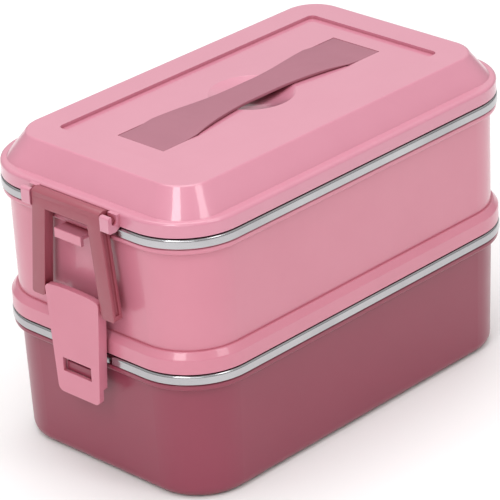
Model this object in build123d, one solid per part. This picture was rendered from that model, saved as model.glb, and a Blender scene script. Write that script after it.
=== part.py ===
from build123d import *
import math
import os

# Two-tier bento lunch box with steel-lined trays, a snap-on lid, a strap handle and two swing latches.
# Millimetres. Origin at the centre of the base, +Z up, +X along the length. A latch is at each end.

# Outline of the steel rims, which every other outline is inset from
rimLength = 190.0
rimWidth = 114.4
rimCorner = 26.6
halfLength = rimLength / 2

# Walls and gaps
plasticWall = 2.4
steelWall = 0.6
linerGap = 0.25
stackGap = 0.5
skirtInset = 0.3
skirtWall = 2.0
rimEdgeRadius = 1.2

# Lower tier
lowerBaseInset = 4.5
lowerTopInset = 3.3
lowerBandLow = 51.1
lowerRimTop = 54.7
lowerLipLow = 48.0
lowerLipTop = 50.4
baseEdgeRadius = 4.5
baseRecessInset = 16.0
baseRecessDepth = 0.8

# Upper tier
upperSkirtLow = lowerRimTop + stackGap
upperShoulderLow = 60.9
upperShoulderTop = 63.5
upperShoulderInset = 2.3
upperShoulderRadius = 0.8
upperBaseInset = 3.35
upperTopInset = 2.9
upperLipLow = 103.5
upperLipTop = 105.8
upperBandLow = 106.5
upperRimTop = 110.1
tierFloorLow = 57.2

# Ribs that locate a tier or the lid in the tray below, and the seals around them
ribInset = 7.6
ribWall = 1.8
ribDrop = 2.4
sealHeight = 2.0
sealOuterInset = 3.4
sealInnerInset = 7.3
hiddenLipInset = 0.9

# Bead under each steel band
lipInset = 0.45
lipEdgeRadius = 0.45
lipFootRadius = 1.1

# Tray corners
trayEdgeRadius = 8.0
trayCavityRadius = 4.0

# Lid
lidSkirtLow = upperRimTop + stackGap
lidFlangeTop = 116.3
lidFlangeRadius = 1.4
lidTop = 126.4
plateauBaseInset = 4.0
plateauTopInset = 11.8
plateauFootCornerTrim = 4.6
plateauTopCornerTrim = 1.8
plateauEdgeRadius = 1.0
lidWall = 2.2
recessLength = 141.2
recessWidth = 67.2
recessCorner = 2.5
recessDepth = 1.4
recessFloor = lidTop - recessDepth
lidCavityTop = recessFloor - plasticWall
dishRadius = 17.0
dishDepth = 3.0
panelThickness = 1.6
panelGap = 0.2

# Strap handle
strapLength = 120.0
strapEndWidth = 24.0
strapWaist = 14.0
strapEndRun = 20.0
strapEndThickness = 1.3
strapThickness = 1.3
strapRise = 1.5
strapLiftX = 49.0
strapRampX = 47.0
strapPocketX = 41.2
strapCrestX = 28.0
strapGap = 0.15
tabLength = 3.0
tabWidth = 12.0
tabDrop = 3.6
tabOffset = 50.0
retainerThickness = 1.4

# Lugs on the lid and the hinge of the latch frame
hingeX = 97.4
hingeZ = 113.3
pivotRadius = 1.15
pivotGap = 0.08
lugInner = 18.6
lugOuter = 23.2
lugFace = 100.4
lugLow = 109.2
lugTop = 115.7
reliefRadius = 3.5
reliefHalfWidth = 18.5

# Latch frame
frameHalfWidth = 18.0
frameFootHalfWidth = 22.0
windowTop = 109.6
windowHalfWidth = 11.3
windowFootHalfWidth = 15.7
frameFoot = 72.7
frameSplayTop = 107.0
frameFace = 99.9
frameBack = 95.6
frameBarrel = 3.2
grooveWidth = 2.0
grooveDepth = 0.8
grooveX = 97.6

# Latch lever
leverPivotX = 97.9
leverPivotZ = 75.8
leverFace = 100.4
leverPlate = 1.4
leverTop = 78.8
leverLow = 34.6
leverTopHalfWidth = 14.4
leverLowHalfWidth = 11.0
leverEar = 2.3
leverCrown = 0.9
leverWallDepth = 4.1
leverLipDepth = 2.2
leverLipTop = 41.0
leverWall = 1.6
leverCorner = 2.4
leverGate = 8.0
axleRadius = 1.5
axleGap = 0.06
axleReach = 17.6
slotHalfWidth = 7.6
slotLow = 43.9
slotHigh = 49.6

# Catch ledges on both tiers
catchHalfWidth = 7.0
catchPlate = 1.4
catchDrop = 4.0
upperCatchFace = 99.8
upperCatchTop = 103.4
lowerCatchFace = 98.7
lowerCatchTop = 47.6


def outline(inset, cornerTrim=0.0):
    return RectangleRounded(rimLength - 2 * inset, rimWidth - 2 * inset, rimCorner - inset - cornerTrim)


def block(low, high, inset, topInset=None):
    # Solid with the rim's outline, inset by one amount at its foot and another at its top
    if topInset is None or topInset == inset:
        return extrude(Pos(0, 0, low) * outline(inset), amount=high - low)
    return loft([Pos(0, 0, low) * outline(inset), Pos(0, 0, high) * outline(topInset)], ruled=True)


def ring(low, high, outerInset, innerInset):
    return block(low, high, outerInset) - block(low - 1, high + 1, innerInset)


def edgesAt(shape, height):
    return shape.edges().filter_by(lambda edge: abs(edge.bounding_box().min.Z - height) < 0.01
                                   and abs(edge.bounding_box().max.Z - height) < 0.01)


def roundedAt(shape, height, radius):
    return fillet(edgesAt(shape, height), radius)


def boxBetween(x0, x1, y0, y1, z0, z1):
    middle = Pos((x0 + x1) / 2, (y0 + y1) / 2, (z0 + z1) / 2)
    return middle * Box(abs(x1 - x0), abs(y1 - y0), abs(z1 - z0))


def bothEnds(shape):
    # The shape, which is modelled at the -X end, and its mirror image at +X
    return shape + mirror(shape, about=Plane.YZ)


def bothSides(shape):
    return shape + mirror(shape, about=Plane.XZ)


def beadLip(low, high):
    # The shell's bead that the steel band stands on
    lip = block(low, high, lipInset)
    return roundedAt(roundedAt(lip, low, lipFootRadius), high, lipEdgeRadius)


def catchLedge(top, wallX, face):
    # A ledge that stands out from the wall, with a lip that hangs from its outer edge
    plate = boxBetween(-face, -wallX, -catchHalfWidth, catchHalfWidth, top - catchPlate, top)
    lip = boxBetween(-face, -face + catchPlate, -catchHalfWidth, catchHalfWidth, top - catchDrop, top)
    ledge = plate + lip
    outerEdges = ledge.edges().filter_by(Axis.Y).sort_by(Axis.X)[:2]
    return fillet(outerEdges, 0.4)


def cylinderAlongY(x, z, radius, y0, y1):
    shaft = Cylinder(radius, y1 - y0)
    return Pos(x, (y0 + y1) / 2, z) * Rot(90, 0, 0) * shaft


def lowerShell():
    wall = block(0, lowerLipTop, lowerBaseInset, lowerTopInset)
    wall = roundedAt(wall, 0, baseEdgeRadius)
    lip = beadLip(lowerLipLow, lowerLipTop)
    hiddenLip = block(lowerLipTop - 0.6, lowerRimTop - steelWall - 0.2, hiddenLipInset)
    cavity = block(plasticWall, lowerRimTop, lowerBaseInset + plasticWall, lowerTopInset + plasticWall)
    cavity = roundedAt(cavity, plasticWall, trayCavityRadius)
    recess = block(-1, baseRecessDepth, baseRecessInset)
    ledge = catchLedge(lowerCatchTop, halfLength - lowerTopInset - 1, lowerCatchFace)
    return wall + lip + hiddenLip + bothEnds(ledge) - cavity - recess


def tray(floorLow, rimTop, bandLow, floorInset, topInset):
    # A steel bowl whose rim turns out over the shell's edge and down as a band
    bowl = block(floorLow, rimTop, floorInset, topInset)
    bowl = roundedAt(bowl, floorLow, trayEdgeRadius)
    hollow = block(floorLow + steelWall, rimTop + 1, floorInset + steelWall, topInset + steelWall)
    hollow = roundedAt(hollow, floorLow + steelWall, trayEdgeRadius - steelWall)
    rim = roundedAt(block(bandLow, rimTop, 0), rimTop, rimEdgeRadius)
    under = roundedAt(block(bandLow - 1, rimTop - steelWall, steelWall), rimTop - steelWall,
                      rimEdgeRadius - steelWall)
    return rim - under + bowl - hollow


def lowerLiner():
    floorInset = lowerBaseInset + plasticWall + linerGap
    topInset = lowerTopInset + plasticWall + linerGap
    return tray(plasticWall + linerGap, lowerRimTop, lowerBandLow, floorInset, topInset)


def upperShell():
    floorHigh = tierFloorLow + plasticWall
    wall = block(tierFloorLow, upperLipLow, upperBaseInset, upperTopInset)
    skirt = block(upperSkirtLow, upperShoulderLow, skirtInset)
    skirt = skirt + block(upperShoulderLow, upperShoulderTop, skirtInset, upperShoulderInset)
    skirt = roundedAt(skirt, upperShoulderLow, upperShoulderRadius)
    skirt = roundedAt(skirt, upperShoulderTop, upperShoulderRadius)
    lip = beadLip(upperLipLow, upperLipTop)
    hiddenLip = block(upperLipTop - 0.6, upperRimTop - steelWall - 0.2, hiddenLipInset)
    cavity = block(floorHigh, upperRimTop, upperBaseInset + plasticWall, upperTopInset + plasticWall)
    cavity = roundedAt(cavity, floorHigh, trayCavityRadius)
    underside = block(upperSkirtLow - 1, tierFloorLow, skirtInset + skirtWall)
    hollowSkirt = ring(tierFloorLow - 0.5, upperShoulderLow, skirtInset + skirtWall, sealOuterInset + 0.8)
    rib = ring(upperSkirtLow - ribDrop, tierFloorLow + 0.5, ribInset, ribInset + ribWall)
    ledge = catchLedge(upperCatchTop, halfLength - upperTopInset - 1, upperCatchFace)
    return wall + skirt + lip + hiddenLip + bothEnds(ledge) - cavity - underside - hollowSkirt + rib


def upperLiner():
    floorInset = upperBaseInset + plasticWall + linerGap
    topInset = upperTopInset + plasticWall + linerGap
    return tray(tierFloorLow + plasticWall + linerGap, upperRimTop, upperBandLow, floorInset, topInset)


def seal(low):
    # Silicone ring that sits round the locating rib, with two soft beads towards the rim below
    body = ring(low + 0.5, low + sealHeight, sealOuterInset + 1.0, sealInnerInset)
    beadWall = 0.9
    outerBead = ring(low, low + 0.6, sealOuterInset + 1.2, sealOuterInset + 1.2 + beadWall)
    innerBead = ring(low, low + 0.6, sealInnerInset - 0.2 - beadWall, sealInnerInset - 0.2)
    return body + outerBead + innerBead


def strapOutline(extra=0.0):
    # Bow-tie plan: wide straight ends and a narrow waist
    endX = strapLength / 2 + extra
    endY = strapEndWidth / 2 + extra
    straightX = strapLength / 2 - strapEndRun
    waistY = strapWaist / 2 + extra
    side = [(-straightX, endY), (-straightX * 0.45, waistY + 1.2), (0, waistY)]
    mirrored = [(-x, y) for x, y in reversed(side[:-1])]
    upper = Spline(*(side + mirrored), tangents=[(1, 0), (1, 0)])
    lower = mirror(upper, about=Plane.XZ)
    left = Polyline((-straightX, endY), (-endX, endY), (-endX, -endY), (-straightX, -endY))
    right = Polyline((straightX, endY), (endX, endY), (endX, -endY), (straightX, -endY))
    return make_face([upper, right, lower, left])


def strapHandle():
    # The strap lies flush in a pocket at each end and bows up between them, over the finger dish
    low = recessFloor - strapEndThickness
    crest = recessFloor + strapRise
    under = crest - strapThickness
    endX = strapLength / 2
    top = Spline((-strapLiftX, recessFloor), (-strapCrestX, crest - 0.1), (0, crest),
                 (strapCrestX, crest - 0.1), (strapLiftX, recessFloor), tangents=[(1, 0), (1, 0)])
    rest = Polyline((strapLiftX, recessFloor), (endX, recessFloor), (endX, low), (strapRampX, low),
                    (strapPocketX, under), (-strapPocketX, under), (-strapRampX, low), (-endX, low),
                    (-endX, recessFloor), (-strapLiftX, recessFloor))
    profile = Plane.XZ * make_face([top, rest])
    body = extrude(profile, amount=strapEndWidth / 2 + 1, both=True)
    body = body & extrude(Pos(0, 0, low - 5) * strapOutline(), amount=20)
    tab = boxBetween(-tabOffset - tabLength / 2, -tabOffset + tabLength / 2, -tabWidth / 2, tabWidth / 2,
                     low - tabDrop, low + 0.2)
    return body + bothEnds(tab)


def strapRetainers():
    # Snap plates on the strap's tabs, under the lid's top wall
    plate = boxBetween(-tabOffset - 5, -tabOffset + 5, -tabWidth / 2 - 3, tabWidth / 2 + 3,
                       lidCavityTop - retainerThickness - 0.1, lidCavityTop - 0.1)
    hole = boxBetween(-tabOffset - tabLength / 2 - 0.05, -tabOffset + tabLength / 2 + 0.05,
                      -tabWidth / 2 - 0.05, tabWidth / 2 + 0.05, lidCavityTop - 9, lidCavityTop + 1)
    left = fillet(plate.edges().filter_by(Axis.Z), 2) - hole
    return Compound([left, mirror(left, about=Plane.YZ)])


def lidLug():
    # Open-topped cradle for the latch frame's pivot, standing out from the lid's skirt
    corners = [(-94.0, 110.8), (-96.8, lugLow), (-lugFace, lugLow), (-lugFace, lugTop),
               (-hingeX - 0.2, lugTop), (-96.4, lugTop), (-94.0, lugTop)]
    profile = Plane.XZ * make_face(Polyline(*corners, close=True))
    lug = Pos(0, -lugInner, 0) * extrude(profile, amount=lugOuter - lugInner)
    outer = lug.edges().filter_by(Axis.Y).sort_by(Axis.X)[:2]
    lug = fillet(outer, 0.9)
    notchRadius = pivotRadius + pivotGap
    seat = cylinderAlongY(-hingeX, hingeZ, notchRadius, -lugOuter + 0.9, -lugInner + 1)
    mouth = boxBetween(-hingeX - notchRadius, -hingeX + notchRadius, -lugOuter + 0.9, -lugInner + 1,
                       hingeZ, lugTop + 2)
    window = cylinderAlongY(-hingeX, hingeZ, notchRadius, -lugOuter - 1, -lugInner + 1)
    windowMouth = boxBetween(-hingeX - notchRadius, -hingeX + notchRadius, -lugOuter - 1, -lugInner + 1,
                             hingeZ, lugTop + 2)
    return lug - seat - mouth - window - windowMouth


def fingerDish():
    sphereRadius = (dishRadius ** 2 + dishDepth ** 2) / (2 * dishDepth)
    return Pos(0, 0, recessFloor - dishDepth + sphereRadius) * Sphere(sphereRadius)


def lidPlateau():
    foot = Pos(0, 0, lidFlangeTop - 1) * outline(plateauBaseInset, plateauFootCornerTrim)
    crown = Pos(0, 0, lidTop) * outline(plateauTopInset, plateauTopCornerTrim)
    return loft([foot, crown], ruled=True)


def lidShell():
    sealTop = lidSkirtLow + sealHeight + 0.3
    flange = roundedAt(block(lidSkirtLow, lidFlangeTop, skirtInset), lidFlangeTop, lidFlangeRadius)
    plateau = roundedAt(lidPlateau(), lidTop, plateauEdgeRadius)
    recess = extrude(Pos(0, 0, recessFloor) * RectangleRounded(recessLength, recessWidth, recessCorner), 5)
    cavity = block(sealTop, lidCavityTop, ribInset + ribWall, plateauTopInset + lidWall + 1.0)
    dishBoss = Pos(0, 0, lidCavityTop - dishDepth / 2) * Cylinder(dishRadius + 2, dishDepth)
    underside = block(lidSkirtLow - 1, sealTop, skirtInset + skirtWall)
    rib = ring(lidSkirtLow - ribDrop, sealTop + 0.5, ribInset, ribInset + ribWall)
    pocket = extrude(Pos(0, 0, recessFloor - strapEndThickness - 0.1) * strapOutline(strapGap), 5)
    pocket = pocket - boxBetween(-strapPocketX, strapPocketX, -50, 50, recessFloor - 5, recessFloor + 9)
    tabHole = boxBetween(-tabOffset - tabLength / 2 - strapGap, -tabOffset + tabLength / 2 + strapGap,
                         -tabWidth / 2 - strapGap, tabWidth / 2 + strapGap, lidCavityTop - 1, recessFloor)
    relief = cylinderAlongY(-hingeX, hingeZ, reliefRadius, -reliefHalfWidth, reliefHalfWidth)
    lid = flange + plateau - cavity + dishBoss - underside + rib + bothEnds(bothSides(lidLug()))
    return lid - recess - pocket - bothEnds(tabHole) - fingerDish() - bothEnds(relief)


def lidInnerPanel():
    low = lidSkirtLow + 0.6
    panel = block(low, low + panelThickness, ribInset + ribWall + panelGap)
    grip = ring(low - 1.2, low + 0.2, ribInset + ribWall + 3, ribInset + ribWall + 4.6)
    return panel + grip


def latchFrame():
    # Inverted U that hangs from the lid's lugs by two stub pivots
    front = [(-frameFace, hingeZ), (-frameFace, frameFoot), (-frameBack, frameFoot),
             (-frameBack, hingeZ - 1.5), (-hingeX, hingeZ)]
    sideProfile = Plane.XZ * make_face(Polyline(*front, close=True))
    slab = extrude(sideProfile, amount=frameFootHalfWidth + 1, both=True)
    barrel = cylinderAlongY(-hingeX, hingeZ, frameBarrel, -frameHalfWidth, frameHalfWidth)
    barrel = barrel - boxBetween(-frameFace - 5, -frameFace, -30, 30, hingeZ - 9, hingeZ + 9)
    top = hingeZ + 5
    outer = [(-frameHalfWidth, top), (-frameHalfWidth, frameSplayTop), (-frameFootHalfWidth, frameFoot),
             (frameFootHalfWidth, frameFoot), (frameHalfWidth, frameSplayTop), (frameHalfWidth, top)]
    window = [(-windowHalfWidth, windowTop), (-windowFootHalfWidth, frameFoot - 1),
              (windowFootHalfWidth, frameFoot - 1), (windowHalfWidth, windowTop)]
    plan = make_face(Polyline(*outer, close=True)) - make_face(Polyline(*window, close=True))
    plan = fillet(plan.vertices().filter_by(lambda corner: abs(corner.Y - frameFoot) < 0.01), 1.2)
    cutter = extrude(Plane.YZ * plan, amount=120, both=True)
    frame = (slab & cutter) + barrel
    splay = math.degrees(math.atan2(frameFootHalfWidth - frameHalfWidth, frameSplayTop - frameFoot))
    grooveMiddle = (frameSplayTop + frameFoot) / 2
    groove = Box(grooveWidth, grooveDepth * 2, frameSplayTop - frameFoot - 5)
    groove = Pos(-grooveX, -(frameHalfWidth + frameFootHalfWidth) / 2, grooveMiddle) * Rot(-splay, 0, 0) * groove
    pivots = bothSides(cylinderAlongY(-hingeX, hingeZ, pivotRadius, -lugOuter + 1.0, -frameHalfWidth + 1))
    bore = cylinderAlongY(-leverPivotX, leverPivotZ, axleRadius + axleGap, -axleReach - 0.3, -windowHalfWidth)
    return frame + pivots - bothSides(groove) - bothSides(bore)


def leverHalfWidth(height, inset=0.0):
    share = (height - leverLow) / (leverTop - leverLow)
    return leverLowHalfWidth + (leverTopHalfWidth - leverLowHalfWidth) * share - inset


def leverPlan(inset, low, high, cornerRadius):
    lowWidth = leverHalfWidth(low, inset)
    highWidth = leverHalfWidth(high, inset)
    crown = ThreePointArc((-highWidth, high - leverCrown), (0, high), (highWidth, high - leverCrown))
    rest = Polyline((highWidth, high - leverCrown), (lowWidth, low), (-lowWidth, low),
                    (-highWidth, high - leverCrown))
    face = make_face([crown, rest])
    return Plane.YZ * fillet(face.vertices(), cornerRadius)


def latchLever():
    # A shallow tray-shaped lever with a slot for the catch, and a gate in its foot that the catch passes
    inner = leverFace - leverWallDepth
    body = Pos(-leverFace, 0, 0) * extrude(leverPlan(0, leverLow, leverTop, leverCorner), leverWallDepth)
    hollow = extrude(leverPlan(leverWall, leverLow + leverWall, leverTop - leverWall, leverCorner - 1), leverWallDepth)
    hollow = Pos(-leverFace + leverPlate, 0, 0) * hollow
    body = fillet(body.faces().sort_by(Axis.X)[0].edges(), 0.5)
    lipRelief = boxBetween(-leverFace + leverLipDepth, -inner + 1, -20, 20, leverLow - 1, leverLipTop)
    topRelief = boxBetween(-inner - 1.6, -inner + 1, -20, 20, leverTop - 2.2, leverTop + 1)
    slot = boxBetween(-leverFace - 1, -leverFace + leverPlate + 1, -slotHalfWidth, slotHalfWidth,
                      slotLow, slotHigh)
    gate = boxBetween(-leverFace + leverPlate, -inner + 1, -leverGate, leverGate, leverLow - 1, leverLow + 4)
    ear = cylinderAlongY(-leverPivotX, leverPivotZ, leverEar, -leverHalfWidth(leverPivotZ),
                         -leverHalfWidth(leverPivotZ) + leverWall)
    axle = cylinderAlongY(-leverPivotX, leverPivotZ, axleRadius, -axleReach, -leverHalfWidth(leverPivotZ) + 1)
    return body - hollow - lipRelief - topRelief - gate - slot + bothSides(ear) + bothSides(axle)


def save(name, shape):
    export_step(shape, "parts/" + name + ".step")


os.makedirs("parts", exist_ok=True)
save("lower_shell", lowerShell())
save("lower_liner", lowerLiner())
save("upper_shell", upperShell())
save("upper_liner", upperLiner())
save("tier_gasket", seal(upperSkirtLow))
save("lid_shell", lidShell())
save("lid_gasket", seal(lidSkirtLow))
save("lid_inner_panel", lidInnerPanel())
save("strap_handle", strapHandle())
save("strap_retainers", strapRetainers())
leftFrame = latchFrame()
leftLever = latchLever()
save("left_latch_frame", leftFrame)
save("right_latch_frame", mirror(leftFrame, about=Plane.YZ))
save("left_latch_lever", leftLever)
save("right_latch_lever", mirror(leftLever, about=Plane.YZ))
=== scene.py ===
import bmesh
import bpy
import math
from mathutils import Matrix, Vector


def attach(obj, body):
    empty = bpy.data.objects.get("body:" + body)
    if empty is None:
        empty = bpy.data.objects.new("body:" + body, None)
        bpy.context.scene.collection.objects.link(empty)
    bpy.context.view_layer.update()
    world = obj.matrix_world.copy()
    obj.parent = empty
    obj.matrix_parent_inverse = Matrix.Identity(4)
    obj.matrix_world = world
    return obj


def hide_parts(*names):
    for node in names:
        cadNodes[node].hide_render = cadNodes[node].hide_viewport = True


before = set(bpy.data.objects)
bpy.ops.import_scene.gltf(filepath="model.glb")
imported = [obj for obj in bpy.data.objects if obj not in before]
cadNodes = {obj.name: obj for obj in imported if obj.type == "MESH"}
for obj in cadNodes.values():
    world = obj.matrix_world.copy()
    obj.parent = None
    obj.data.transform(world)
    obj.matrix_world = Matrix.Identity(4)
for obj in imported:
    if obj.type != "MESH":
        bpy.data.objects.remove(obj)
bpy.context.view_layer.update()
bpy.ops.object.select_all(action="DESELECT")
print("frame loaded:", len(cadNodes), "CAD nodes")

# camera, floor and lights
cameraLook = {
    "azimuth": -45.08,       # degrees round from looking along +Y
    "elevation": 25.90,
    "roll": -3.11,
    "distance": 1.221,       # metres from the point looked at
    "target": (-0.0031, 0.0025, 0.0581),
    "lens": 223.8,
    "sensorWidth": 36.0,
    "nearest": 0.05,
    "farthest": 20.0,
}
studioLook = {
    "floorSize": 8.0,
    "floorColour": (0.90, 0.90, 0.90, 1.0),
    "floorRoughness": 0.9,
    "horizonColour": (0.50, 0.48, 0.48, 1.0),
    "zenithColour": (1.0, 0.99, 0.98, 1.0),
    "horizonStop": 0.10,     # where the sky starts to brighten
    "zenithStop": 0.48,      # and where it is brightest
    "skyStrength": 0.78,
    "aim": (-0.05, -0.03, 0.10),
    "stripDistance": 1.5,
    "stripSize": (0.42, 0.50),
    "strips": (              # name, azimuth, elevation, watts
        ("leftStrip", -73.0, 49.0, 4.4),
        ("rightStrip", 8.0, 46.0, 2.6),
    ),
    "fillAzimuth": -58.0,
    "fillElevation": 28.0,
    "fillDistance": 1.2,
    "fillSize": (0.9, 0.5),
    "fillPower": 2.6,
    "ceilingPlace": (0.15, 0.25, 1.9),
    "ceilingSize": (1.4, 1.4),
    "ceilingPower": 15.0,
}


def direction(azimuth, elevation):
    # unit vector from the object towards a viewer at that azimuth and elevation, in degrees
    a = math.radians(azimuth)
    e = math.radians(elevation)
    return Vector((math.sin(a) * math.cos(e), -math.cos(a) * math.cos(e), math.sin(e)))


def addCamera():
    azimuth = math.radians(cameraLook["azimuth"])
    back = direction(cameraLook["azimuth"], cameraLook["elevation"])
    right = Vector((math.cos(azimuth), math.sin(azimuth), 0.0))
    up = back.cross(right)
    turned = Matrix((right, up, back)).transposed().to_4x4()
    rolled = turned @ Matrix.Rotation(math.radians(cameraLook["roll"]), 4, "Z")
    bpy.ops.object.camera_add()
    camera = bpy.context.object
    camera.name = "studioCamera"
    camera.data.lens = cameraLook["lens"]
    camera.data.sensor_width = cameraLook["sensorWidth"]
    camera.data.clip_start = cameraLook["nearest"]
    camera.data.clip_end = cameraLook["farthest"]
    place = Vector(cameraLook["target"]) + back * cameraLook["distance"]
    camera.matrix_world = Matrix.Translation(place) @ rolled
    bpy.context.scene.camera = camera


def addSoftbox(name, place, size, power):
    bpy.ops.object.light_add(type="AREA", location=place)
    lamp = bpy.context.object
    lamp.name = name
    lamp.data.shape = "RECTANGLE"
    lamp.data.size = size[0]
    lamp.data.size_y = size[1]
    lamp.data.energy = power
    aim = Vector(studioLook["aim"]) - Vector(place)
    lamp.rotation_euler = aim.to_track_quat("-Z", "Y").to_euler()


def addStudio():
    bpy.context.scene.view_settings.view_transform = "Standard"
    bpy.ops.mesh.primitive_plane_add(size=studioLook["floorSize"], location=(0, 0, 0))
    floor = bpy.context.object
    floor.name = "studioFloor"
    paint = bpy.data.materials.new("paleFloor")
    paint.use_nodes = True
    shader = paint.node_tree.nodes["Principled BSDF"]
    shader.inputs["Base Color"].default_value = studioLook["floorColour"]
    shader.inputs["Roughness"].default_value = studioLook["floorRoughness"]
    floor.data.materials.append(paint)
    world = bpy.data.worlds.new("studioWorld")
    bpy.context.scene.world = world
    world.use_nodes = True
    nodes = world.node_tree.nodes
    links = world.node_tree.links
    background = nodes["Background"]
    background.inputs["Strength"].default_value = studioLook["skyStrength"]
    place = nodes.new("ShaderNodeTexCoord")
    place.label = "direction"
    place.location = (-900, 300)
    height = nodes.new("ShaderNodeSeparateXYZ")
    height.label = "height above the horizon"
    height.location = (-700, 300)
    sky = nodes.new("ShaderNodeValToRGB")
    sky.label = "dim horizon, bright ceiling"
    sky.location = (-450, 300)
    sky.color_ramp.interpolation = "EASE"
    sky.color_ramp.elements[0].position = studioLook["horizonStop"]
    sky.color_ramp.elements[0].color = studioLook["horizonColour"]
    sky.color_ramp.elements[1].position = studioLook["zenithStop"]
    sky.color_ramp.elements[1].color = studioLook["zenithColour"]
    links.new(place.outputs["Generated"], height.inputs["Vector"])
    links.new(height.outputs["Z"], sky.inputs["Fac"])
    links.new(sky.outputs["Color"], background.inputs["Color"])
    aim = Vector(studioLook["aim"])
    for name, azimuth, elevation, power in studioLook["strips"]:
        place = aim + direction(azimuth, elevation) * studioLook["stripDistance"]
        addSoftbox(name, place, studioLook["stripSize"], power)
    fillWay = direction(studioLook["fillAzimuth"], studioLook["fillElevation"])
    fillPlace = aim + fillWay * studioLook["fillDistance"]
    addSoftbox("frontFill", fillPlace, studioLook["fillSize"], studioLook["fillPower"])
    addSoftbox("ceilingBox", studioLook["ceilingPlace"], studioLook["ceilingSize"],
               studioLook["ceilingPower"])


# moulded plastics: one make-up, several colours
upperPlasticLook = {
    "colour": (0.590, 0.200, 0.272, 1.0),
    "deepColour": (0.550, 0.172, 0.242, 1.0),
    "mottle": 0.45,
    "paintedShadeReach": 0.005,       # metres: how far the painted shade in gaps reaches
    # painted shade: this colour is multiplied into the plastic in gaps and corners
    "paintedShadeTint": (0.72, 0.36, 0.40, 1.0),
    "roughness": 0.30,
    "smudge": 0.08,
    "peel": 0.08,
    "coat": 0.55,
    "coatRoughness": 0.06,
}
lidPlasticLook = dict(
    upperPlasticLook,
    colour=(0.600, 0.228, 0.312, 1.0),
    deepColour=(0.565, 0.202, 0.284, 1.0),
    coat=0.9,
    coatRoughness=0.05,
)
leverPlasticLook = dict(upperPlasticLook, roughness=0.34, coat=0.25, coatRoughness=0.16)
lowerPlasticLook = dict(
    upperPlasticLook,
    colour=(0.252, 0.036, 0.069, 1.0),
    deepColour=(0.232, 0.030, 0.060, 1.0),
    roughness=0.28,
    coat=0.15,
)
framePlasticLook = dict(
    upperPlasticLook,
    colour=(0.315, 0.070, 0.098, 1.0),
    deepColour=(0.285, 0.060, 0.085, 1.0),
    roughness=0.40,
    coat=0.15,
    coatRoughness=0.14,
)
innerPlasticLook = dict(upperPlasticLook, roughness=0.45, coat=0.05)
strapPlasticLook = dict(
    upperPlasticLook,
    colour=(0.350, 0.134, 0.180, 1.0),
    deepColour=(0.320, 0.118, 0.160, 1.0),
    roughness=0.50,
    smudge=0.12,
    peel=0.30,
    coat=0.0,
)


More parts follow.
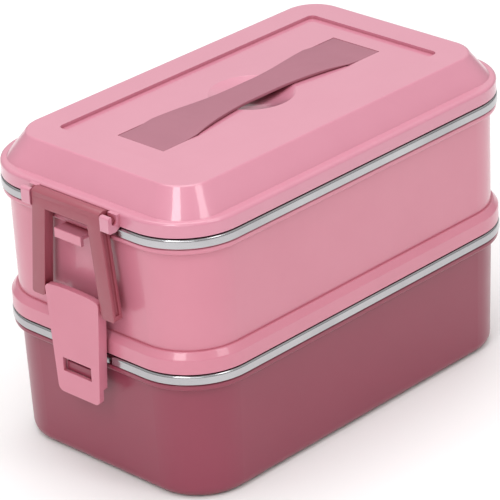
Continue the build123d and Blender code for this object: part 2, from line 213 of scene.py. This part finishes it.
def mouldedPlastic(name, look):
    material = bpy.data.materials.new(name)
    material.use_nodes = True
    tree = material.node_tree
    tree.nodes.clear()
    nodes = tree.nodes
    links = tree.links

    output = nodes.new("ShaderNodeOutputMaterial")
    output.label = "finished plastic"
    output.location = (900, 0)
    shader = nodes.new("ShaderNodeBsdfPrincipled")
    shader.label = "glossy polypropylene"
    shader.location = (600, 0)
    shader.inputs["IOR"].default_value = 1.49
    shader.inputs["Coat Weight"].default_value = look["coat"]
    shader.inputs["Coat Roughness"].default_value = look["coatRoughness"]

    place = nodes.new("ShaderNodeTexCoord")
    place.label = "place on the piece"
    place.location = (-1100, 0)

    colourFrame = nodes.new("NodeFrame")
    colourFrame.label = "pigment"
    mottle = nodes.new("ShaderNodeTexNoise")
    mottle.label = "uneven pigment in the melt"
    mottle.location = (-700, 320)
    mottle.parent = colourFrame
    mottle.inputs["Scale"].default_value = 38.0
    mottle.inputs["Detail"].default_value = 4.0
    mottle.inputs["Roughness"].default_value = 0.55
    spread = nodes.new("ShaderNodeMapRange")
    spread.label = "how far the pigment drifts"
    spread.location = (-450, 320)
    spread.parent = colourFrame
    spread.inputs["From Min"].default_value = 0.35
    spread.inputs["From Max"].default_value = 0.75
    spread.inputs["To Max"].default_value = look["mottle"]
    tint = nodes.new("ShaderNodeMix")
    tint.label = "body colour"
    tint.location = (-150, 320)
    tint.parent = colourFrame
    tint.data_type = "RGBA"
    tint.inputs["A"].default_value = look["colour"]
    tint.inputs["B"].default_value = look["deepColour"]
    links.new(place.outputs["Object"], mottle.inputs["Vector"])
    links.new(mottle.outputs["Fac"], spread.inputs["Value"])
    links.new(spread.outputs["Result"], tint.inputs["Factor"])
    # painted shade: ambient occlusion darkens and reddens the plastic in gaps and corners, standing
    # in for the warm shade there
    gap = nodes.new("ShaderNodeAmbientOcclusion")
    gap.label = "inside gaps and corners"
    gap.location = (-700, 620)
    gap.parent = colourFrame
    gap.samples = 8
    gap.inputs["Distance"].default_value = look["paintedShadeReach"]
    paintedShadeDepth = nodes.new("ShaderNodeMapRange")
    paintedShadeDepth.label = "how deep the gap is"
    paintedShadeDepth.location = (-450, 620)
    paintedShadeDepth.parent = colourFrame
    paintedShadeDepth.inputs["From Min"].default_value = 0.75
    paintedShadeDepth.inputs["From Max"].default_value = 0.25
    paintedGapShade = nodes.new("ShaderNodeMix")
    paintedGapShade.label = "light tinted by the plastic around it"
    paintedGapShade.location = (150, 320)
    paintedGapShade.parent = colourFrame
    paintedGapShade.data_type = "RGBA"
    paintedGapShade.blend_type = "MULTIPLY"
    paintedGapShade.inputs["B"].default_value = look["paintedShadeTint"]
    links.new(gap.outputs["AO"], paintedShadeDepth.inputs["Value"])
    links.new(paintedShadeDepth.outputs["Result"], paintedGapShade.inputs["Factor"])
    links.new(tint.outputs["Result"], paintedGapShade.inputs["A"])
    links.new(paintedGapShade.outputs["Result"], shader.inputs["Base Color"])

    glossFrame = nodes.new("NodeFrame")
    glossFrame.label = "gloss"
    smudge = nodes.new("ShaderNodeTexNoise")
    smudge.label = "handling marks"
    smudge.location = (-700, 0)
    smudge.parent = glossFrame
    smudge.inputs["Scale"].default_value = 90.0
    smudge.inputs["Detail"].default_value = 6.0
    smudge.inputs["Distortion"].default_value = 0.4
    gloss = nodes.new("ShaderNodeMapRange")
    gloss.label = "roughness range"
    gloss.location = (-450, 0)
    gloss.parent = glossFrame
    gloss.inputs["From Min"].default_value = 0.3
    gloss.inputs["From Max"].default_value = 0.8
    gloss.inputs["To Min"].default_value = look["roughness"]
    gloss.inputs["To Max"].default_value = look["roughness"] + look["smudge"]
    links.new(place.outputs["Object"], smudge.inputs["Vector"])
    links.new(smudge.outputs["Fac"], gloss.inputs["Value"])
    links.new(gloss.outputs["Result"], shader.inputs["Roughness"])

    reliefFrame = nodes.new("NodeFrame")
    reliefFrame.label = "surface relief"
    peel = nodes.new("ShaderNodeTexNoise")
    peel.label = "fine moulded grain"
    peel.location = (-700, -320)
    peel.parent = reliefFrame
    peel.inputs["Scale"].default_value = 1400.0
    peel.inputs["Detail"].default_value = 3.0
    peelBump = nodes.new("ShaderNodeBump")
    peelBump.label = "grain height"
    peelBump.location = (-200, -320)
    peelBump.parent = reliefFrame
    peelBump.inputs["Strength"].default_value = look["peel"]
    peelBump.inputs["Distance"].default_value = 0.00006
    sink = nodes.new("ShaderNodeTexNoise")
    sink.label = "slow waviness of the wall"
    sink.location = (-700, -600)
    sink.parent = reliefFrame
    sink.inputs["Scale"].default_value = 30.0
    sink.inputs["Detail"].default_value = 1.0
    sinkBump = nodes.new("ShaderNodeBump")
    sinkBump.label = "waviness height"
    sinkBump.location = (-450, -600)
    sinkBump.parent = reliefFrame
    sinkBump.inputs["Strength"].default_value = 0.25
    sinkBump.inputs["Distance"].default_value = 0.0006
    links.new(place.outputs["Object"], peel.inputs["Vector"])
    links.new(place.outputs["Object"], sink.inputs["Vector"])
    links.new(sink.outputs["Fac"], sinkBump.inputs["Height"])
    links.new(sinkBump.outputs["Normal"], peelBump.inputs["Normal"])
    links.new(peel.outputs["Fac"], peelBump.inputs["Height"])
    links.new(peelBump.outputs["Normal"], shader.inputs["Normal"])
    links.new(shader.outputs["BSDF"], output.inputs["Surface"])
    return material


steelLook = {
    "colour": (0.54, 0.535, 0.55, 1.0),
    "dullColour": (0.36, 0.355, 0.37, 1.0),
    # painted shade: a near-black mixed into the steel next to the plastic, where the seams are in
    # shade
    "paintedSeamShadeColour": (0.055, 0.045, 0.05, 1.0),
    "paintedSeamShadeReach": 0.0014,    # metres from the plastic that the painted seam shade reaches
    "roughness": 0.10,
    "grainRoughness": 0.12,
    "grain": 0.25,
}


def brushedSteel(name, look):
    material = bpy.data.materials.new(name)
    material.use_nodes = True
    tree = material.node_tree
    tree.nodes.clear()
    nodes = tree.nodes
    links = tree.links

    output = nodes.new("ShaderNodeOutputMaterial")
    output.label = "finished steel"
    output.location = (900, 0)
    shader = nodes.new("ShaderNodeBsdfPrincipled")
    shader.label = "stainless steel"
    shader.location = (600, 0)
    shader.inputs["Metallic"].default_value = 1.0

    place = nodes.new("ShaderNodeTexCoord")
    place.label = "place on the tray"
    place.location = (-1300, 0)

    grainFrame = nodes.new("NodeFrame")
    grainFrame.label = "brushing"
    lengthwise = nodes.new("ShaderNodeMapping")
    lengthwise.label = "lines run round the rim"
    lengthwise.location = (-1000, 200)
    lengthwise.parent = grainFrame
    lengthwise.inputs["Scale"].default_value = (14.0, 14.0, 5200.0)
    grain = nodes.new("ShaderNodeTexNoise")
    grain.label = "brush lines"
    grain.location = (-750, 200)
    grain.parent = grainFrame
    grain.inputs["Scale"].default_value = 1.0
    grain.inputs["Detail"].default_value = 5.0
    grainGloss = nodes.new("ShaderNodeMapRange")
    grainGloss.label = "roughness along the lines"
    grainGloss.location = (-450, 60)
    grainGloss.parent = grainFrame
    grainGloss.inputs["From Min"].default_value = 0.3
    grainGloss.inputs["From Max"].default_value = 0.7
    grainGloss.inputs["To Min"].default_value = look["roughness"]
    grainGloss.inputs["To Max"].default_value = look["roughness"] + look["grainRoughness"]
    grainBump = nodes.new("ShaderNodeBump")
    grainBump.label = "line height"
    grainBump.location = (-450, -200)
    grainBump.parent = grainFrame
    grainBump.inputs["Strength"].default_value = look["grain"]
    grainBump.inputs["Distance"].default_value = 0.00003
    links.new(place.outputs["Object"], lengthwise.inputs["Vector"])
    links.new(lengthwise.outputs["Vector"], grain.inputs["Vector"])
    links.new(grain.outputs["Fac"], grainGloss.inputs["Value"])
    links.new(grain.outputs["Fac"], grainBump.inputs["Height"])
    links.new(grainGloss.outputs["Result"], shader.inputs["Roughness"])
    links.new(grainBump.outputs["Normal"], shader.inputs["Normal"])

    toneFrame = nodes.new("NodeFrame")
    toneFrame.label = "tone"
    cloud = nodes.new("ShaderNodeTexNoise")
    cloud.label = "cloudy polish"
    cloud.location = (-750, 520)
    cloud.parent = toneFrame
    cloud.inputs["Scale"].default_value = 45.0
    cloud.inputs["Detail"].default_value = 3.0
    tone = nodes.new("ShaderNodeMix")
    tone.label = "steel tone"
    tone.location = (-150, 520)
    tone.parent = toneFrame
    tone.data_type = "RGBA"
    tone.inputs["A"].default_value = look["colour"]
    tone.inputs["B"].default_value = look["dullColour"]
    # painted shade: ambient occlusion darkens the steel close to the plastic above and below
    crevice = nodes.new("ShaderNodeAmbientOcclusion")
    crevice.label = "close to the plastic above and below"
    crevice.location = (-450, 760)
    crevice.parent = toneFrame
    crevice.samples = 8
    crevice.inputs["Distance"].default_value = look["paintedSeamShadeReach"]
    creviceRange = nodes.new("ShaderNodeMapRange")
    creviceRange.label = "how dark the gap gets"
    creviceRange.location = (-150, 760)
    creviceRange.parent = toneFrame
    creviceRange.inputs["From Min"].default_value = 0.45
    creviceRange.inputs["From Max"].default_value = 0.92
    paintedSeamShade = nodes.new("ShaderNodeMix")
    paintedSeamShade.label = "shaded seam"
    paintedSeamShade.location = (150, 520)
    paintedSeamShade.parent = toneFrame
    paintedSeamShade.data_type = "RGBA"
    paintedSeamShade.inputs["A"].default_value = look["paintedSeamShadeColour"]
    links.new(place.outputs["Object"], cloud.inputs["Vector"])
    links.new(cloud.outputs["Fac"], tone.inputs["Factor"])
    links.new(crevice.outputs["AO"], creviceRange.inputs["Value"])
    links.new(creviceRange.outputs["Result"], paintedSeamShade.inputs["Factor"])
    links.new(tone.outputs["Result"], paintedSeamShade.inputs["B"])
    links.new(paintedSeamShade.outputs["Result"], shader.inputs["Base Color"])
    links.new(shader.outputs["BSDF"], output.inputs["Surface"])
    return material


sealLook = {
    "colour": (0.82, 0.80, 0.79, 1.0),
    "roughness": 0.42,
    "subsurface": 0.35,
}


def siliconeSeal(name, look):
    material = bpy.data.materials.new(name)
    material.use_nodes = True
    tree = material.node_tree
    tree.nodes.clear()
    nodes = tree.nodes
    links = tree.links
    output = nodes.new("ShaderNodeOutputMaterial")
    output.label = "finished silicone"
    output.location = (500, 0)
    shader = nodes.new("ShaderNodeBsdfPrincipled")
    shader.label = "milky silicone"
    shader.location = (200, 0)
    shader.inputs["Base Color"].default_value = look["colour"]
    shader.inputs["Subsurface Weight"].default_value = look["subsurface"]
    shader.inputs["Subsurface Scale"].default_value = 0.002
    place = nodes.new("ShaderNodeTexCoord")
    place.label = "place on the ring"
    place.location = (-700, 0)
    dust = nodes.new("ShaderNodeTexNoise")
    dust.label = "clinging dust"
    dust.location = (-450, 0)
    dust.inputs["Scale"].default_value = 500.0
    dull = nodes.new("ShaderNodeMapRange")
    dull.label = "dulled by dust"
    dull.location = (-200, 0)
    dull.inputs["To Min"].default_value = look["roughness"]
    dull.inputs["To Max"].default_value = look["roughness"] + 0.2
    links.new(place.outputs["Object"], dust.inputs["Vector"])
    links.new(dust.outputs["Fac"], dull.inputs["Value"])
    links.new(dull.outputs["Result"], shader.inputs["Roughness"])
    links.new(shader.outputs["BSDF"], output.inputs["Surface"])
    return material


samePlace = 1e-6             # metres: corners this close are in one place
sameHeight = 1e-5            # metres: corners this close are at one height
facingShare = 0.9            # a face's normal points at least this much the way it faces
sharpAngle = math.radians(38)


def makeActive(piece):
    bpy.ops.object.select_all(action="DESELECT")
    bpy.context.view_layer.objects.active = piece
    piece.select_set(True)


def addBlock(name, low, high):
    # a box between two corners, in millimetres, with its location, rotation and scale applied to
    # the mesh
    middle = [(a + b) / 2000 for a, b in zip(low, high)]
    bpy.ops.mesh.primitive_cube_add(size=1, location=middle)
    block = bpy.context.object
    block.name = name
    block.scale = [(b - a) / 1000 for a, b in zip(low, high)]
    bpy.ops.object.transform_apply(location=True, rotation=True, scale=True)
    return block


def addShaft(name, x, z, radius, fromY, toY, sides):
    # a cylinder along the width, in millimetres
    middle = (x / 1000, (fromY + toY) / 2000, z / 1000)
    bpy.ops.mesh.primitive_cylinder_add(vertices=sides, radius=radius / 1000,
                                        depth=(toY - fromY) / 1000, location=middle,
                                        rotation=(math.pi / 2, 0, 0))
    shaft = bpy.context.object
    shaft.name = name
    bpy.ops.object.transform_apply(location=True, rotation=True, scale=True)
    return shaft


def pick(kind, wanted):
    # selects the corners, edges or faces of the piece in edit mode for which wanted is true
    bpy.ops.mesh.select_mode(type=kind)
    bpy.ops.mesh.select_all(action="DESELECT")
    mesh = bpy.context.object.data
    shape = bmesh.from_edit_mesh(mesh)
    items = {"VERT": shape.verts, "EDGE": shape.edges, "FACE": shape.faces}[kind]
    for item in items:
        if wanted(item):
            item.select_set(True)
    shape.select_flush_mode()
    bmesh.update_edit_mesh(mesh)


def cutAcross(places, axis):
    # bisects the whole piece at these places along an axis, in millimetres
    for place in places:
        point = [0.0, 0.0, 0.0]
        point[axis] = place / 1000
        normal = [0.0, 0.0, 0.0]
        normal[axis] = 1.0
        bpy.ops.mesh.select_all(action="SELECT")
        bpy.ops.mesh.bisect(plane_co=point, plane_no=normal)


def drawOut(x, y, z):
    # extrudes the selected faces this far, in millimetres
    way = (x / 1000, y / 1000, z / 1000)
    bpy.ops.mesh.extrude_region_move(TRANSFORM_OT_translate={"value": way})


def lift(height):
    # raises the selected corners, in millimetres
    bpy.ops.transform.translate(value=(0, 0, height / 1000))


def combine(piece, tool, operation):
    # joins a tool to the piece or cuts it out of the piece, and removes the tool
    makeActive(piece)
    change = piece.modifiers.new(tool.name, "BOOLEAN")
    change.operation = operation
    change.solver = "EXACT"
    change.object = tool
    bpy.ops.object.modifier_apply(modifier=change.name)
    bpy.data.objects.remove(tool, do_unlink=True)


def softenEdges(piece, width, segments=2):
    # rounds what is left sharp, then shades the piece smooth
    makeActive(piece)
    rounding = piece.modifiers.new("rounding", "BEVEL")
    rounding.width = width / 1000
    rounding.segments = segments
    rounding.limit_method = "ANGLE"
    rounding.angle_limit = sharpAngle
    bpy.ops.object.modifier_apply(modifier=rounding.name)
    bpy.ops.object.shade_smooth_by_angle(angle=sharpAngle)


def mirroredCopy(piece, name):
    # the same piece for the other end of the box, with its own mesh
    makeActive(piece)
    bpy.ops.object.duplicate(linked=False)
    twin = bpy.context.object
    twin.name = name
    twin.scale = (-1, 1, 1)
    bpy.ops.object.transform_apply(location=True, rotation=True, scale=True)
    bpy.ops.object.mode_set(mode="EDIT")
    bpy.ops.mesh.select_all(action="SELECT")
    bpy.ops.mesh.normals_make_consistent(inside=False)
    bpy.ops.object.mode_set(mode="OBJECT")
    return twin


# strap handle, in millimetres
strapShape = {
    "halfLength": 60.0,
    "endHalfWidth": 12.0,
    "waistHalfWidth": 7.0,
    "taperFrom": 8.0,        # the waist is straight up to here
    "taperTo": 42.0,         # and the ends are straight from here
    "taperPower": 1.6,
    "floor": 125.0,          # height of the lid's recess floor
    "thickness": 1.3,
    "crest": 1.5,
    "crestX": 27.0,
    "flushX": 49.0,
    "underGap": 0.2,
    "pocketX": 41.2,         # the underside goes down from here
    "pocketMidX": 44.5,
    "pocketEndX": 47.0,      # to here
    "bendStep": 4.0,
    "bendCount": 11,
    "tabX": (48.5, 51.5),
    "tabHalfWidth": 6.0,
    "tabDrop": 3.6,
    "edgeRound": 0.28,
    "edgeSteps": 3,
}


def strapHalfWidth(x):
    s = strapShape
    share = (abs(x) - s["taperFrom"]) / (s["taperTo"] - s["taperFrom"])
    share = min(max(share, 0.0), 1.0) ** s["taperPower"]
    return s["waistHalfWidth"] + (s["endHalfWidth"] - s["waistHalfWidth"]) * share


def strapTop(x):
    s = strapShape
    share = min(max((s["flushX"] - abs(x)) / (s["flushX"] - s["crestX"]), 0.0), 1.0)
    return s["floor"] + s["crest"] * math.sin(share * math.pi / 2)


def strapUnderside(x):
    s = strapShape
    share = min(max((abs(x) - s["pocketX"]) / (s["pocketEndX"] - s["pocketX"]), 0.0), 1.0)
    return s["floor"] + s["underGap"] - (s["thickness"] + s["underGap"]) * share


def modelStrap():
    s = strapShape
    low = (-s["halfLength"], -s["endHalfWidth"], s["floor"] - s["thickness"])
    high = (s["halfLength"], s["endHalfWidth"], s["floor"])
    strap = addBlock("strapBand", low, high)
    middle = s["floor"] - s["thickness"] / 2
    bends = [s["bendStep"] * i for i in range(s["bendCount"])]
    bends += [s["pocketX"], s["taperTo"], s["pocketMidX"], s["pocketEndX"], *s["tabX"]]
    stations = sorted({side * x for x in bends for side in (-1, 1)})
    bpy.ops.object.mode_set(mode="EDIT")
    cutAcross(stations, 0)
    cutAcross((-s["tabHalfWidth"], s["tabHalfWidth"]), 1)
    for x in stations:
        pick("VERT", lambda v: abs(v.co.x - x / 1000) < samePlace)
        bpy.ops.transform.resize(value=(1, strapHalfWidth(x) / s["endHalfWidth"], 1))
        pick("VERT", lambda v: abs(v.co.x - x / 1000) < samePlace and v.co.z > middle / 1000)
        lift(strapTop(x) - s["floor"])
        pick("VERT", lambda v: abs(v.co.x - x / 1000) < samePlace and v.co.z < middle / 1000)
        lift(strapUnderside(x) - s["floor"] + s["thickness"])
    # the tabs that go down through the lid
    tabLow, tabHigh = s["tabX"]
    pick("FACE", lambda f: f.normal.z < -facingShare
         and abs(f.calc_center_median().y) < s["tabHalfWidth"] / 1000 - samePlace
         and tabLow / 1000 < abs(f.calc_center_median().x) < tabHigh / 1000)
    drawOut(0, 0, -s["tabDrop"])
    bpy.ops.object.mode_set(mode="OBJECT")
    softenEdges(strap, s["edgeRound"], s["edgeSteps"])
    return strap


# swing frame of a latch, in millimetres, at the left end
frameShape = {
    "face": 99.9,
    "back": 95.6,
    "hinge": (-97.4, 113.3),
    "barrelRadius": 3.2,
    "barrelSides": 64,
    "halfWidth": 18.0,
    "windowHalfWidth": 11.3,
    "windowTop": 109.6,
    "foot": 72.7,
    "splay": 4.0,
    "footRound": 1.2,
    "footSteps": 4,
    "grooveMargin": 1.15,
    "legFaceArea": 5e-5,     # square metres: less than a leg's side, more than its foot
    "grooveDepth": 0.8,
    "pivotRadius": 1.15,
    "pivotReach": 22.2,
    "bore": (-97.9, 75.8),
    "boreRadius": 1.56,
    "boreReach": 17.9,
    "shaftSides": 32,
    "edgeRound": 0.3,
}


def modelFrame():
    s = frameShape
    hingeX, hingeZ = s["hinge"]
    boreX, boreZ = s["bore"]
    low = (-s["face"], -s["halfWidth"], s["windowTop"])
    high = (-s["back"], s["halfWidth"], hingeZ)
    swing = addBlock("swingFrameLeft", low, high)
    bpy.ops.object.mode_set(mode="EDIT")
    cutAcross((-s["windowHalfWidth"], s["windowHalfWidth"]), 1)
    # each leg is drawn down and outwards from the crossbar
    for side in (-1, 1):
        pick("FACE", lambda f: f.normal.z < -facingShare
             and side * f.calc_center_median().y > s["windowHalfWidth"] / 1000)
        drawOut(0, side * s["splay"], s["foot"] - s["windowTop"])
    pick("EDGE", lambda e: all(abs(v.co.z - s["foot"] / 1000) < sameHeight for v in e.verts)
         and abs(e.verts[0].co.y - e.verts[1].co.y) < samePlace)
    bpy.ops.mesh.bevel(offset=s["footRound"] / 1000, segments=s["footSteps"], affect="EDGES")
    # a shallow groove down the outside of each leg
    for side in (-1, 1):
        pick("FACE", lambda f: side * f.normal.y > facingShare
             and side * f.calc_center_median().y > s["halfWidth"] / 1000
             and f.calc_center_median().z < s["windowTop"] / 1000
             and f.calc_area() > s["legFaceArea"])
        bpy.ops.mesh.inset(thickness=s["grooveMargin"] / 1000)
        drawOut(0, -side * s["grooveDepth"], 0)
    bpy.ops.object.mode_set(mode="OBJECT")
    # the round bar at the top, cut flat at the frame's face
    barrel = addShaft("barrel", hingeX, hingeZ, s["barrelRadius"], -s["halfWidth"], s["halfWidth"],
                      s["barrelSides"])
    bpy.ops.object.mode_set(mode="EDIT")
    bpy.ops.mesh.select_all(action="SELECT")
    bpy.ops.mesh.bisect(plane_co=(-s["face"] / 1000, 0, 0), plane_no=(-1, 0, 0),
                        clear_outer=True, use_fill=True)
    bpy.ops.object.mode_set(mode="OBJECT")
    combine(swing, barrel, "UNION")
    pivots = addShaft("pivots", hingeX, hingeZ, s["pivotRadius"], -s["pivotReach"], s["pivotReach"],
                      s["shaftSides"])
    combine(swing, pivots, "UNION")
    bores = addShaft("bores", boreX, boreZ, s["boreRadius"], -s["boreReach"], s["boreReach"],
                     s["shaftSides"])
    combine(swing, bores, "DIFFERENCE")
    softenEdges(swing, s["edgeRound"])
    return swing


# lever of a latch, in millimetres, at the left end
leverShape = {
    "face": 100.4,
    "plate": 1.4,
    "depth": 4.1,
    "low": 34.6,
    "top": 78.8,
    "lowHalfWidth": 11.0,
    "topHalfWidth": 14.4,
    "crown": 0.72,           # rise of the top edge at its middle
    "crownY": (-9.0, -6.0, -3.0, 0.0, 3.0, 6.0, 9.0),
    "cornerRound": 2.4,
    "cornerSteps": 6,
    "wall": 1.6,
    "lipDepth": 2.2,         # the walls are shallower near the foot
    "lipTop": 41.0,
    "gateHalfWidth": 8.0,    # the foot wall is open here for the catch
    "gateHeight": 4.0,
    "headDepth": 1.6,        # the top wall is this much shallower
    "headHeight": 2.2,
    "slotHalfWidth": 7.6,
    "slotZ": (43.9, 49.6),
    "pivot": (-97.9, 75.8),
    "earRadius": 2.3,
    "earInset": 0.1,         # from the outside of the wall
    "axleRadius": 1.5,
    "axleRoot": 1.0,         # from the outside of the wall, inwards
    "axleReach": 17.6,
    "pinSides": 40,
    "spare": 1.0,            # how far a cutting block goes past the lever
    "spareHalfWidth": 20.0,
    "edgeRound": 0.42,
}


def modelLever():
    s = leverShape
    pivotX, pivotZ = s["pivot"]
    inner = s["face"] - s["depth"]
    low = (-s["face"], -s["topHalfWidth"], s["low"])
    high = (-inner, s["topHalfWidth"], s["top"])
    lever = addBlock("flipLeverLeft", low, high)
    bpy.ops.object.mode_set(mode="EDIT")
    # narrower towards the foot, with rounded corners and a crowned top edge
    pick("VERT", lambda v: v.co.z < s["low"] / 1000 + sameHeight)
    bpy.ops.transform.resize(value=(1, s["lowHalfWidth"] / s["topHalfWidth"], 1))
    pick("EDGE", lambda e: abs(e.verts[0].co.x - e.verts[1].co.x) > samePlace)
    bpy.ops.mesh.bevel(offset=s["cornerRound"] / 1000, segments=s["cornerSteps"], affect="EDGES")
    cutAcross(s["crownY"], 1)
    for y in s["crownY"]:
        pick("VERT", lambda v: v.co.z > s["top"] / 1000 - sameHeight
             and abs(v.co.y - y / 1000) < samePlace)
        lift(s["crown"] * (1 - (y / s["topHalfWidth"]) ** 2))
    # the hollow back
    pick("FACE", lambda f: f.normal.x > facingShare)
    bpy.ops.mesh.inset(thickness=s["wall"] / 1000)
    drawOut(s["plate"] - s["depth"], 0, 0)
    bpy.ops.object.mode_set(mode="OBJECT")
    behind = s["spare"] - inner
    below = s["low"] - s["spare"]
    wide = s["spareHalfWidth"]
    plateBack = -s["face"] + s["plate"]
    cuts = (
        ("lipRelief", (-s["face"] + s["lipDepth"], -wide, below), (behind, wide, s["lipTop"])),
        ("headRelief", (-inner - s["headDepth"], -wide, s["top"] - s["headHeight"]),
         (behind, wide, s["top"] + 2 * s["spare"])),
        ("gate", (plateBack, -s["gateHalfWidth"], below),
         (behind, s["gateHalfWidth"], s["low"] + s["gateHeight"])),
        ("slot", (-s["face"] - s["spare"], -s["slotHalfWidth"], s["slotZ"][0]),
         (plateBack + s["spare"], s["slotHalfWidth"], s["slotZ"][1])),
    )
    for name, cutLow, cutHigh in cuts:
        combine(lever, addBlock(name, cutLow, cutHigh), "DIFFERENCE")
    # an ear inside each wall carries the axle, which ends in the frame's bore
    share = (pivotZ - s["low"]) / (s["top"] - s["low"])
    outside = s["lowHalfWidth"] + (s["topHalfWidth"] - s["lowHalfWidth"]) * share
    for side in (-1, 1):
        ends = sorted((side * (outside - s["wall"]), side * (outside - s["earInset"])))
        ear = addShaft("ear", pivotX, pivotZ, s["earRadius"], *ends, s["pinSides"])
        combine(lever, ear, "UNION")
        ends = sorted((side * (outside - s["axleRoot"]), side * s["axleReach"]))
        axle = addShaft("axle", pivotX, pivotZ, s["axleRadius"], *ends, s["pinSides"])
        combine(lever, axle, "UNION")
    softenEdges(lever, s["edgeRound"])
    return lever


def setPiece(piece, body, node, material):
    # the piece moves with a body, stands for a CAD node and takes a finish
    piece.data.materials.clear()
    piece.data.materials.append(material)
    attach(piece, body)
    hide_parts(node)


def paintNode(nodeName, material):
    # a carried-over CAD piece keeps its mesh and takes a better finish
    mesh = cadNodes[nodeName].data
    mesh.materials.clear()
    mesh.materials.append(material)


addCamera()
addStudio()
print("camera, floor and lights ready")

upperPlastic = mouldedPlastic("upperPinkPlastic", upperPlasticLook)
lidPlastic = mouldedPlastic("lidPinkPlastic", lidPlasticLook)
leverPlastic = mouldedPlastic("leverPinkPlastic", leverPlasticLook)
lowerPlastic = mouldedPlastic("lowerMauvePlastic", lowerPlasticLook)
framePlastic = mouldedPlastic("frameMauvePlastic", framePlasticLook)
innerPlastic = mouldedPlastic("innerPinkPlastic", innerPlasticLook)
strapPlastic = mouldedPlastic("strapMauvePlastic", strapPlasticLook)
traySteel = brushedSteel("traySteel", steelLook)
sealSilicone = siliconeSeal("sealSilicone", sealLook)
nodeFinish = {
    "lower_shell": lowerPlastic,
    "lower_liner": traySteel,
    "upper_shell": upperPlastic,
    "upper_liner": traySteel,
    "tier_gasket": sealSilicone,
    "lid_shell": lidPlastic,
    "lid_gasket": sealSilicone,
    "lid_inner_panel": innerPlastic,
    "strap_retainers": innerPlastic,
}
for nodeName, finish in nodeFinish.items():
    paintNode(nodeName, finish)
print("finishes on", len(nodeFinish), "CAD nodes")

strapBand = modelStrap()
setPiece(strapBand, "lid", "strap_handle", strapPlastic)
print("strap modelled")

leftSwing = modelFrame()
rightSwing = mirroredCopy(leftSwing, "swingFrameRight")
setPiece(leftSwing, "left_frame", "left_latch_frame", framePlastic)
setPiece(rightSwing, "right_frame", "right_latch_frame", framePlastic)
print("swing frames modelled")

leftLever = modelLever()
rightLever = mirroredCopy(leftLever, "flipLeverRight")
setPiece(leftLever, "left_lever", "left_latch_lever", leverPlastic)
setPiece(rightLever, "right_lever", "right_latch_lever", leverPlastic)
print("levers modelled")
